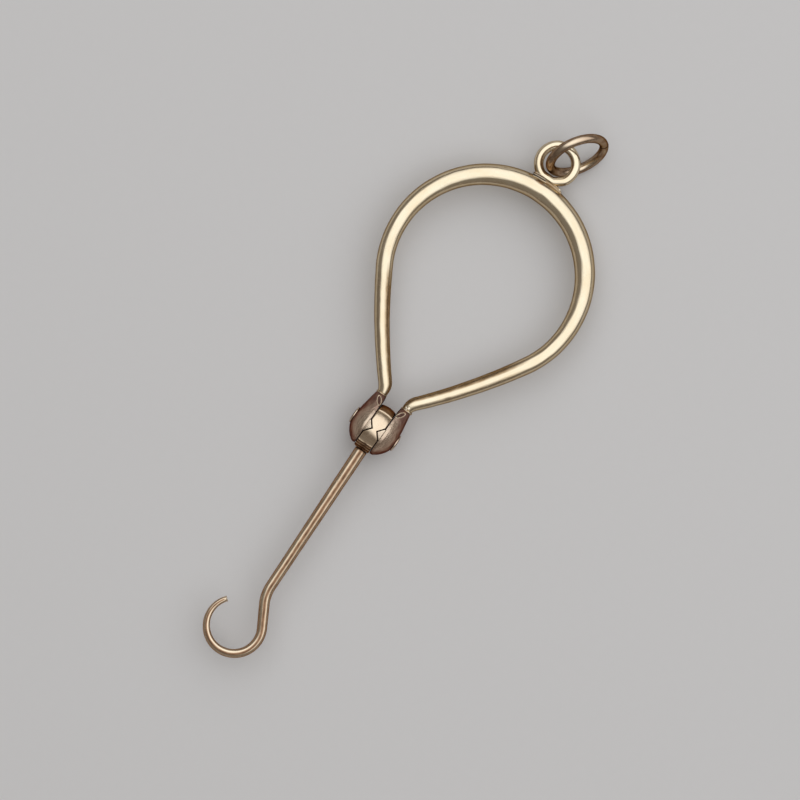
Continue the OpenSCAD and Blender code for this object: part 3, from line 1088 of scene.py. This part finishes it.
@dataclass
class Bow:
    """Pear-shaped spring bow of tapered wire, with its two feet soldered to the cheeks."""

    joint: BallJoint
    reach: float = 34.75
    width: float = 24.1
    flank_r: float = 74.5
    foot_bend_r: float = 2.2
    d_apex: float = 2.7
    d_side: float = 2.05
    d_foot: float = 1.65
    rim: float = 0.05
    waver: float = 0.004
    # The side tone and the flank tone are partly patina and partly painted dark reflection; the
    # lines along the flanks are left bare for the highlight.
    toned: float = 0.5
    flank_l: float = 17.5
    flank_fade: float = 5.0
    flank_outer: float = 0.5
    foot_dark: float = 0.12
    left_line: Spot = (0.02, 0.38)
    right_line: Spot = (-0.02, 0.27)
    dents: Dents = Dents((
        (11.2, 60, 0.5, 22, 0.02), (18.5, 120, 0.8, 20, 0.018), (30.1, 70, 0.6, 16, 0.02),
        (41.0, 112, 0.7, 14, 0.022), (62.3, 75, 0.6, 18, 0.02), (70.8, 128, 0.9, 16, 0.022),
        (76.4, 64, 0.5, 20, 0.024), (81.2, 108, 0.7, 18, 0.026), (85.9, 80, 0.4, 20, 0.02),
        (24.7, -60, 0.7, 20, 0.02), (52.0, -100, 0.8, 20, 0.02), (68.0, -70, 0.6, 18, 0.02),
        (35.6, 38, 0.45, 8, 0.09),
    ))

    @property
    def round_c(self) -> np.ndarray:
        """Centre of the round end."""
        return np.array([self.reach - self.width / 2, 0.0])

    def path(self) -> WirePath:
        """Left half from the foot to the far end, then its reflection.

        Three arcs touch each other: the reverse bend at the foot, the long flank and the round end.

        Returns:
            The stations of the whole bow.
        """
        lean, foot_r, round_r = self.joint.foot_lean, self.foot_bend_r, self.width / 2
        foot_c = self.joint.foot_end + foot_r * left_of(lean)
        flank_c = circle_meeting(self.round_c, self.flank_r - round_r,
                                 foot_c, self.flank_r + foot_r)
        foot_h, round_h = (math.degrees(math.atan2(-v[0], v[1]))
                           for v in (foot_c - flank_c, self.round_c - flank_c))
        t = np.linspace(0, 1, 26)[:-1]
        d = mix(self.joint.foot_d, self.d_foot, np.sin(np.pi / 2 * t))
        foot = arc(foot_c, foot_r, mix(lean, foot_h, t), -1, d / 2)
        t = np.linspace(0, 1, 121)[:-1]
        d = mix(self.d_foot, self.d_side, t)
        flank = arc(flank_c, self.flank_r, mix(foot_h, round_h, t), 1, d / 2)
        t = np.linspace(0, 1, 171)
        d = mix(self.d_side, self.d_apex, ease(t))
        rounded = arc(self.round_c, round_r, mix(round_h, -90, t), 1, d / 2)
        return WirePath.joined(foot, flank, rounded).there_and_back()

    def skin(self) -> Skin:
        """The bow's wire, darkened at its feet, and toned along its flanks but for a bare line.

        The tone of a flank is 1 - exp(-((side - middle) / half width)^4) across the wire, less on
        its outer side, and it eases away along the flank. It is partly patina and partly painted
        dark reflection beside the highlight.

        Returns:
            The bow's skin.
        """
        path = self.path().with_round_ends(self.rim)
        skin = wire_skin(path, 72, self.waver, self.toned, self.dents)
        s, side, _ = np.moveaxis(skin.lay, -1, 0)
        far = s[-1, 0]
        for along, (middle, half) in ((s, self.left_line), (far - s, self.right_line)):
            flank = ease(np.clip((self.flank_l - along) / self.flank_fade, 0, 1))
            toned = self.toned * flank * (1 - np.exp(-(((side - middle) / half) ** 4)))
            skin = skin.darkened(np.where(side > middle, self.flank_outer, 1) * toned)
        return skin.darkened(bells(s, (0, self.foot_dark), (far, self.foot_dark)))

    def collar(self, size: float, lumps: float, phase: float) -> Skin:
        """Solder that stands round the left foot where it meets the cheek: a lumpy ring.

        The ring runs round the foot's axis. Its thickness is changed by three waves round it.

        Args:
            size: Radius of the ring's section.
            lumps: Share by which the section swells and shrinks.
            phase: Turn of the lumps.

        Returns:
            The collar's skin.
        """
        sunk, squat, tone = 0.25, 0.9, 0.35
        phi, t = circle(4.0)[:, None], circle(12.0)[None, :]
        wave = (np.sin(phi + phase) + 0.6 * np.sin(2 * phi - phase)
                + 0.4 * np.sin(5 * phi + 2 * phase))
        r = size * (1 + lumps * wave)
        out = self.joint.foot_d / 2 + sunk * r + r * np.cos(t)
        along = squat * r * np.sin(t)
        ahead, left = heading_dir(self.joint.foot_lean), left_of(self.joint.foot_lean)
        flat = self.joint.foot_end + along[..., None] * ahead
        flat = flat + (out * np.cos(phi))[..., None] * left
        return Skin(raised(flat, out * np.sin(phi)), np.array([tone]), ring=True)

    def build(self, finishes: Finishes) -> None:
        """Makes the bow and the solder at its feet.

        Args:
            finishes: The golds.
        """
        finishes.fit(self.skin().moved(PIVOT), "bow", Body.HANDLE, Slot.YELLOW)
        blob, bead = np.array([4.26, -1.74, 0.46]), np.array([4.0, -2.07, 0.5])
        finishes.solder({
            "left_foot_solder": self.collar(0.1, 0.22, 0.6),
            "right_foot_solder": self.collar(0.15, 0.3, 2.2).on(Side.RIGHT),
            "right_foot_blob": drop_skin(blob, (0.46, 0.34, 0.34), 0.6),
            "right_foot_bead": drop_skin(bead, (0.16, 0.15, 0.16), 2.0),
        })


@dataclass
class HookWire:
    """Tapered shank that swings out and curls into the hook, with a blunt, slightly flared tip."""

    joint: BallJoint
    reach: float = 29.0
    curl_r: float = 3.35
    curl_turn: float = 250.0
    curl_offset: float = 1.05
    bend_turn: float = 28.0
    bend_r: float = 5.0
    d_bend: float = 1.3
    d_tip: float = 0.64
    taper: float = 1.6
    flare: float = 0.14
    flare_l: float = 0.3
    rim: float = 0.04
    waver: float = 0.004
    toned: float = 0.3
    # The brown is partly patina and partly painted dark reflection; the two bare lines are painted
    # highlights, and the dark line between them a painted dark reflection.
    browned: float = 0.42
    bright_l: float = 15.0
    bright_fade: float = 3.0
    outer_highlight_share: tuple[float, float] = (0.6, 0.95)
    outer_highlight_line: Spot = (61, 12)
    dark: float = 0.36
    dark_reflection_line: Spot = (85, 12)
    inner_highlight_line: Spot = (116, 15)
    tip_bright: float = 0.4
    root_dark: float = 0.16

    def path(self) -> WirePath:
        """Shank, bend to the left, straight run and curl to the right, all touching.

        The wire thins evenly along the shank, then by a power, taper, of the length to the tip.

        Returns:
            The stations of the hook.
        """
        h = 180 + self.joint.shank_skew
        run_h = h + self.bend_turn
        ahead, turn = heading_dir(h), math.radians(self.bend_turn)
        curl_c = self.reach * ahead - self.curl_offset * left_of(h)
        corner = (self.curl_r - self.curl_offset * math.cos(turn)) / math.sin(turn)
        bend_at = self.reach - corner - self.bend_r * math.tan(turn / 2)
        bend_c = bend_at * ahead + self.bend_r * left_of(h)
        run_a = bend_c - self.bend_r * left_of(run_h)
        run_b = curl_c + self.curl_r * left_of(run_h)
        bend_l, run_l = self.bend_r * turn, float(np.linalg.norm(run_b - run_a))
        curl_l = self.curl_r * math.radians(self.curl_turn)
        tail = bend_l + run_l + curl_l

        def r(l: np.ndarray) -> np.ndarray:
            """Radius at a length past the start of the bend, with the flare at the tip."""
            flare = 1 + self.flare * np.clip(1 - (tail - l) / self.flare_l, 0, 1) ** 2
            return mix(self.d_bend, self.d_tip, (l / tail) ** self.taper) * flare / 2

        t = np.linspace(0, 1, 141)[:-1]
        s = mix(self.joint.shank_seat, bend_at, t)
        d = mix(self.joint.shank_d, self.d_bend, t)
        shank = WirePath(s[:, None] * ahead, np.full(t.shape, h), d / 2)
        t = np.linspace(0, 1, 31)[:-1]
        bend = arc(bend_c, self.bend_r, mix(h, run_h, t), -1, r(t * bend_l))
        run_xy = mix(run_a, run_b, t[:, None])
        run = WirePath(run_xy, np.full(t.shape, run_h), r(bend_l + t * run_l))
        t = np.linspace(0, 1, 221)
        a = mix(run_h, run_h - self.curl_turn, t)
        curl = arc(curl_c, self.curl_r, a, 1, r(bend_l + run_l + t * curl_l))
        return WirePath.joined(shank, bend, run, curl)

    def build(self, finishes: Finishes) -> None:
        """Makes the hook's wire, browned but for two bare lines, with a dark line between them.

        The line on the outside of the curl is faint along the shank and clear in the curl. The bare
        lines are painted highlights and the dark line is a painted dark reflection; the brown is
        partly patina and partly painted dark reflection.

        Args:
            finishes: The golds.
        """
        skin = wire_skin(self.path().with_round_ends(self.rim), 56, self.waver, self.toned)
        s, side, up = np.moveaxis(skin.lay, -1, 0)
        round_it = np.abs(np.degrees(np.arctan2(up, side)))
        far = s[-1, 0]
        in_curl = np.clip((s - far + self.bright_l) / self.bright_fade, 0, 1)
        clear = mix(*self.outer_highlight_share, in_curl)
        # Painted highlights on the two bare lines, and a painted dark reflection on the line
        # between.
        wear_and_sheen = bells(round_it, self.inner_highlight_line) + clear * bells(round_it, self.outer_highlight_line)
        tip = bells(s, (far, self.tip_bright))
        brown = self.browned * (1 - np.maximum(wear_and_sheen, tip))
        brown = brown + self.dark * bells(round_it, self.dark_reflection_line) * (1 - tip)
        skin = skin.darkened(brown, bells(s, (0, self.root_dark)))
        finishes.fit(skin.moved(PIVOT), "hook_wire", Body.HOOK, Slot.ROSE)


@dataclass
class Hanger:
    """Bail on its saddle at the bow's far end, with the jump ring that hangs in it."""

    bow: Bow
    solder_gap: float = 0.02
    bail_hole_d: float = 3.3
    bail_wire_d: float = 1.15
    bail_flat: float = 0.5
    bail_turn: float = 2.0
    saddle_t: float = 0.16
    saddle_w: float = 1.1
    saddle_l: float = 3.6
    ring_d: float = 6.9
    ring_wire_d: float = 1.1
    ring_turn: float = 32.0
    ring_lean: float = 26.0
    ring_split: float = 0.06
    ring_rim: float = 0.04
    # The ring's brown is partly patina and partly painted shade; its upward side is left bare as a
    # painted highlight.
    ring_brown: float = 0.46
    ring_top_highlight: float = 0.42
    ring_end_dark: float = 0.1
    solder_at: float = 0.485

    @property
    def saddle_r(self) -> float:
        """Radius of the saddle's underside round the bow's round end."""
        return self.bow.width / 2 + self.bow.d_apex / 2 + self.solder_gap

    @property
    def seat_r(self) -> float:
        """Radius of the bail's seat round the bow's round end."""
        return self.saddle_r + self.saddle_t + self.solder_gap

    @property
    def bail_r(self) -> float:
        """Radius of the bail to the middle of its wire."""
        return (self.bail_hole_d + self.bail_wire_d) / 2

    @property
    def bail_c(self) -> np.ndarray:
        """Centre of the bail."""
        reach = self.seat_r + self.bail_r + self.bail_wire_d / 2 - self.bail_flat
        return self.bow.round_c + reach * heading_dir(self.bail_turn)

    def bail_skin(self) -> Skin:
        """Filed ring: an almost round wire on a circle with two flats, set flat on the saddle.

        The ring's radius in a direction is the inverse of the 40-norm of the circle and the flats.
        The section is a superellipse. Points inside the saddle's cylinder are moved out to it.

        Returns:
            The bail's skin.
        """
        norm, soft, middle = 40, 0.06, self.bow.round_c
        tone, inward_dark_reflection, fade, seat_tone = 0.4, 0.14, 0.6, 0.6
        phi = np.arange(0, 360, 1.5)
        flats = np.array([178.0, 214.0]) + self.bail_turn
        near = np.array([0.945, 0.96])
        shares = np.maximum(np.cos(np.radians(phi[:, None] - flats)), 0) / near
        ring = self.bail_r * (1 + (shares**norm).sum(-1)) ** (-1 / norm)
        t = circle(6.0)
        r = self.bail_wire_d / 2
        out, up = r * np.cos(t), r * signed_power(np.sin(t), 0.95)
        flat = self.bail_c + (ring[:, None] + out)[..., None] * heading_dir(phi)[:, None, :]
        away = flat - middle
        dist = np.linalg.norm(away, axis=-1)
        moved = smooth_max(dist, np.full_like(dist, self.seat_r), soft)
        flat = middle + away * (moved / dist)[..., None]
        along = np.radians(phi)[:, None] * self.bail_r
        lay = np.stack(np.broadcast_arrays(along, out, up), -1)
        # Darker along the wire's sides and more so on its inner side, towards the hole: partly
        # patina, partly painted dark reflection. Darker along the seat.
        toned = (tone - inward_dark_reflection * out / r) * np.exp(-((up / r / fade) ** 2))
        toned = np.maximum(toned, seat_tone * bells(dist, (self.seat_r, soft)))
        return Skin(raised(flat, lay[..., 2]), toned, lay, ring=True)

    def saddle_skin(self) -> Skin:
        """Saddle bent round the bow: a strip of rounded section, thicker towards its ends.

        The section is a superellipse of the strip's width and thickness. Past the bail's foot the
        strip thickens outwards, and a groove runs along its edges.

        Returns:
            The saddle's skin.
        """
        half = math.degrees(self.saddle_l / self.saddle_r) / 2
        tip, tip_l, tip_least = 0.94, 0.0601, 0.08
        thick_from, thick_over, thick_by = 0.35, 0.4, 0.9
        deep, proud, tone, edge_tone, end_tone = 0.09, 0.1, 0.2, 0.3, 0.4
        x = np.concatenate([np.linspace(-1, -tip, 6), np.linspace(-0.92, 0.92, 90),
                            np.linspace(tip, 1, 6)])
        shrink = np.sqrt(np.clip(1 - ((np.abs(x) - tip) / tip_l) ** 2, 0, 1))
        shrink = np.where(np.abs(x) < tip, 1, np.maximum(shrink, tip_least))[:, None]
        thick = 1 + thick_by * np.clip((np.abs(x) - thick_from) / thick_over, 0, 1) ** 2
        thick = self.saddle_t * thick[:, None]
        t = circle(5.0)[None, :]
        out, side = signed_power(np.cos(t), 0.5), signed_power(np.sin(t), 0.5)
        on_edge = np.abs(np.sin(t)) > 0.5
        groove = deep * np.exp(-((out / 0.28) ** 2)) * on_edge
        radius = self.saddle_r + thick * (0.5 + 0.5 * shrink * out)
        up = (self.saddle_w / 2 + proud) * shrink * side * (1 - groove)
        round_it = heading_dir(self.bail_turn + half * x)[:, None, :]
        flat = self.bow.round_c + radius[..., None] * round_it
        darkening = tone + edge_tone * np.exp(-((out / 0.3) ** 2)) * on_edge
        darkening = darkening + end_tone * np.clip(5 * x - 0.5, 0, 1)[:, None] * on_edge
        return Skin(raised(flat, up), np.minimum(darkening, 1))

    def reed_skin(self, out: float, up: float, start: float, stop: float, r: float,
                  brown: float) -> Skin:
        """Reed or bead of solder along the saddle: a thin wire that tapers, laid round the bow.

        Args:
            out: Distance of the reed from the middle of the bow's wire.
            up: Height of the reed above it.
            start: Angle round the bow's end at which the reed starts.
            stop: Angle at which it stops.
            r: Radius at its start.
            brown: Least darkening of it.

        Returns:
            The reed's skin.
        """
        taper = 0.4
        t = np.linspace(0, 1, 60)
        a = mix(start, stop, t) + 90
        path = arc(self.bow.round_c, self.bow.width / 2 + out, a, -1, r * (1 - taper * t**2))
        skin = wire_skin(path.with_round_ends(r / 2), sides=24, waver=0.01, toned=0.45)
        return skin.darkened(np.full(skin.tarnish.shape, brown)).moved(np.array([0, 0, up]))

    def ring_skin(self, turn: np.ndarray) -> Skin:
        """Jump ring: round wire nearly closed on a circle, its two sawn ends a hair apart.

        The wire is browned but for the side that faces up, by the 8th power of the normal's rise:
        the bare top is a painted highlight, and the brown is partly patina and partly painted
        shade.

        Args:
            turn: Turn of the ring's own plane to its place.

        Returns:
            The ring's skin, in the ring's own plane.
        """
        r = self.ring_d / 2
        split = math.degrees(self.ring_split / r)
        a = np.linspace(90 + split / 2, 450 - split / 2, 300)
        path = arc(np.zeros(2), r, a, -1, np.full(a.shape, self.ring_wire_d / 2))
        path = path.with_round_ends(self.ring_rim)
        skin = wire_skin(path, sides=48, waver=self.bow.waver, toned=0.0)
        s, side, up = np.moveaxis(skin.lay, -1, 0)
        rise = (left_of(path.heading) @ turn[2, :2])[:, None] * side + turn[2, 2] * up
        wear_and_sheen = np.clip(rise / np.hypot(side, up), 0, 1) ** 8
        ends = bells(s, (0, self.ring_end_dark), (s[-1, 0], self.ring_end_dark))
        return skin.darkened(self.ring_brown - self.ring_top_highlight * wear_and_sheen, ends)

    def build(self, finishes: Finishes) -> None:
        """Makes the saddle, the bail, the solder round the saddle and the jump ring.

        Each reed is given by its distance, height, start, stop, radius and least darkening. The
        first three are reeds, and the others are fillets between the saddle and the bow.

        Args:
            finishes: The golds.
        """
        for skin, node in ((self.saddle_skin(), "bail_saddle"), (self.bail_skin(), "bail")):
            finishes.fit(skin.moved(PIVOT), node, Body.HANDLE, Slot.YELLOW)
        along = self.solder_at * self.saddle_l / self.saddle_r
        end_turn = self.bail_turn - math.degrees(along)
        end = self.bow.round_c + (self.saddle_r + 0.1) * heading_dir(end_turn)
        reeds = (
            (1.21, 0.62, 1.4, 9.3, 0.055, 0), (1.45, 0.63, 2.6, 9.2, 0.055, 0),
            (1.67, 0.55, 4.0, 9, 0.05, 0),
            (1.29, 0.5, -8, 2.2, 0.17, 0.44), (1.29, -0.5, -8, 6, 0.17, 0.44),
        )
        solder = {"saddle_solder": drop_skin(np.append(end, 0.28), (0.2, 0.34, 0.26), 0.0)}
        solder |= {f"saddle_reed_{n}": self.reed_skin(*reed) for n, reed in enumerate(reeds, 1)}
        finishes.solder(solder)
        cos, sin = heading_dir(90 - self.ring_lean)
        about_x = np.array([[1, 0, 0], [0, cos, -sin], [0, sin, cos]])
        cos, sin = heading_dir(-self.ring_turn)
        turn = np.array([[cos, -sin, 0], [sin, cos, 0], [0, 0, 1]]) @ about_x
        ring = self.ring_skin(turn).moved(joint_place("ring_flop"), turn)
        finishes.fit(ring, "jump_ring", Body.RING, Slot.YELLOW, "aged_gold")


@dataclass
class Studio:
    """Pale floor, a soft lamp and the camera that looks straight down on the tool."""

    frame_w: float = 96.0
    height: float = 620.0
    middle: tuple[float, float] = (-1.171, -0.434)
    turn: float = -54.66
    floor_half: float = 1500.0
    floor_points: int = 9
    floor_tone: Colour = (0.66, 0.64, 0.61, 1)
    room_tone: Colour = (0.21, 0.195, 0.185, 1)
    lamp_tone: tuple[float, float, float] = (0.96, 1.0, 1.07)
    lamp_away: float = 0.6
    fade: float = 0.3

    def floor(self) -> None:
        """Lays a plain floor with a faint grain in its tone.

        The floor is a square grid of points at height 0.
        """
        n = self.floor_points
        t = np.linspace(-self.floor_half, self.floor_half, n)
        x, y = np.meshgrid(t, t, indexing="ij")
        places = np.stack([x, y, 0 * x], -1).reshape(-1, 3) * MM
        i, k = np.meshgrid(np.arange(n - 1), np.arange(n - 1), indexing="ij")
        v = (i * n + k).ravel()
        mesh = bpy.data.meshes.new("floor")
        mesh.from_pydata(places.tolist(), [], np.stack([v, v + n, v + n + 1, v + 1], -1).tolist())
        piece = bpy.data.objects.new("floor", mesh)
        bpy.context.scene.collection.objects.link(piece)
        material = bpy.data.materials.new("pale_floor")
        material.use_nodes = True
        graph = Graph(material.node_tree)
        place = graph.add("ShaderNodeTexCoord").outputs["Object"]
        grain = graph.noise(place, (1, 1, 1), 900.0, 2.0)
        dark = tuple(0.985 * c for c in self.floor_tone[:3]) + (1,)
        colour = graph.blend(grain, self.floor_tone, dark)
        shader = graph.add("ShaderNodeBsdfPrincipled", {"Base Color": colour, "Roughness": 0.9})
        graph.add("ShaderNodeOutputMaterial", {"Surface": shader.outputs[0]})
        mesh.materials.append(material)

    def lamp(self, name: str, tilt: float, bearing: float, size: tuple[float, float],
             radiance: float) -> None:
        """Hangs a soft lamp that faces the tool, bright in its middle and fading to its edges.

        Args:
            name: Name of the lamp.
            tilt: Angle from straight above.
            bearing: Direction of the tilt in the picture, from its right over its top.
            size: Width and height in metres, the height along the tilt.
            radiance: Brightness of the middle of its face.
        """
        flat = heading_dir(self.turn + bearing)
        across = np.append(-left_of(self.turn + bearing), 0.0)
        t = math.radians(tilt)
        away = np.append(math.sin(t) * flat, math.cos(t))
        data = bpy.data.lights.new(name, "AREA")
        data.shape = "RECTANGLE"
        data.size, data.size_y = size
        data.color = self.lamp_tone
        data.energy = radiance * math.pi * size[0] * size[1]
        data.use_nodes = True
        graph = Graph(data.node_tree)
        place = graph.add("ShaderNodeNewGeometry").outputs["Parametric"]
        place = graph.add("ShaderNodeSeparateXYZ", {0: place})
        fade = []
        for axis in ("X", "Y"):
            near = place.outputs[axis]
            edge = graph.maths("MINIMUM", near, graph.maths("SUBTRACT", 1.0, near))
            rise = {"Value": edge, "From Min": 0.0, "From Max": self.fade,
                    "To Min": 0.0, "To Max": 1.0}
            ramp = graph.add("ShaderNodeMapRange", rise, interpolation_type="SMOOTHSTEP")
            fade.append(ramp.outputs[0])
        glow = graph.add("ShaderNodeEmission", {"Strength": graph.maths("MULTIPLY", *fade)})
        graph.add("ShaderNodeOutputLight", {"Surface": glow.outputs[0]})
        lamp = bpy.data.objects.new(name, data)
        bpy.context.scene.collection.objects.link(lamp)
        turn = np.eye(4)
        turn[:3, :3] = np.stack([across, np.cross(away, across), away], -1)
        turn[:3, 3] = self.lamp_away * away
        lamp.matrix_world = Matrix(turn.tolist())

    def camera(self) -> None:
        """Sets the camera above the tool, with the photograph's square frame."""
        data = bpy.data.cameras.new("camera")
        data.sensor_width = 36.0
        data.lens = data.sensor_width * self.height / self.frame_w
        data.clip_start, data.clip_end = 0.01, 20.0
        camera = bpy.data.objects.new("camera", data)
        bpy.context.scene.collection.objects.link(camera)
        camera.location = np.array([*self.middle, self.height + PIVOT[2]]) * MM
        camera.rotation_euler = (0, 0, math.radians(self.turn))
        bpy.context.scene.camera = camera

    def build(self) -> None:
        """Sets up the whole studio."""
        self.floor()
        self.lamp("window", tilt=22.0, bearing=42.0, size=(2.5, 1.7), radiance=1.05)
        world = bpy.data.worlds.new("room")
        bpy.context.scene.world = world
        world.use_nodes = True
        graph = Graph(world.node_tree)
        room = graph.add("ShaderNodeBackground", {"Color": self.room_tone, "Strength": 1.0})
        graph.add("ShaderNodeOutputWorld", {"Surface": room.outputs[0]})
        bpy.context.scene.view_settings.view_transform = "Standard"
        self.camera()
        LOG.info("studio: floor, lamp, camera")


def main() -> None:
    """Builds the finishes, the sub-assemblies and the studio."""
    logging.basicConfig(level=logging.INFO, format="%(message)s")
    finishes = Finishes()
    finishes.build()
    joint = BallJoint()
    bow = Bow(joint)
    for part in (joint, bow, HookWire(joint), Hanger(bow)):
        part.build(finishes)
    Studio().build()


if __name__ == "__main__":
    main()
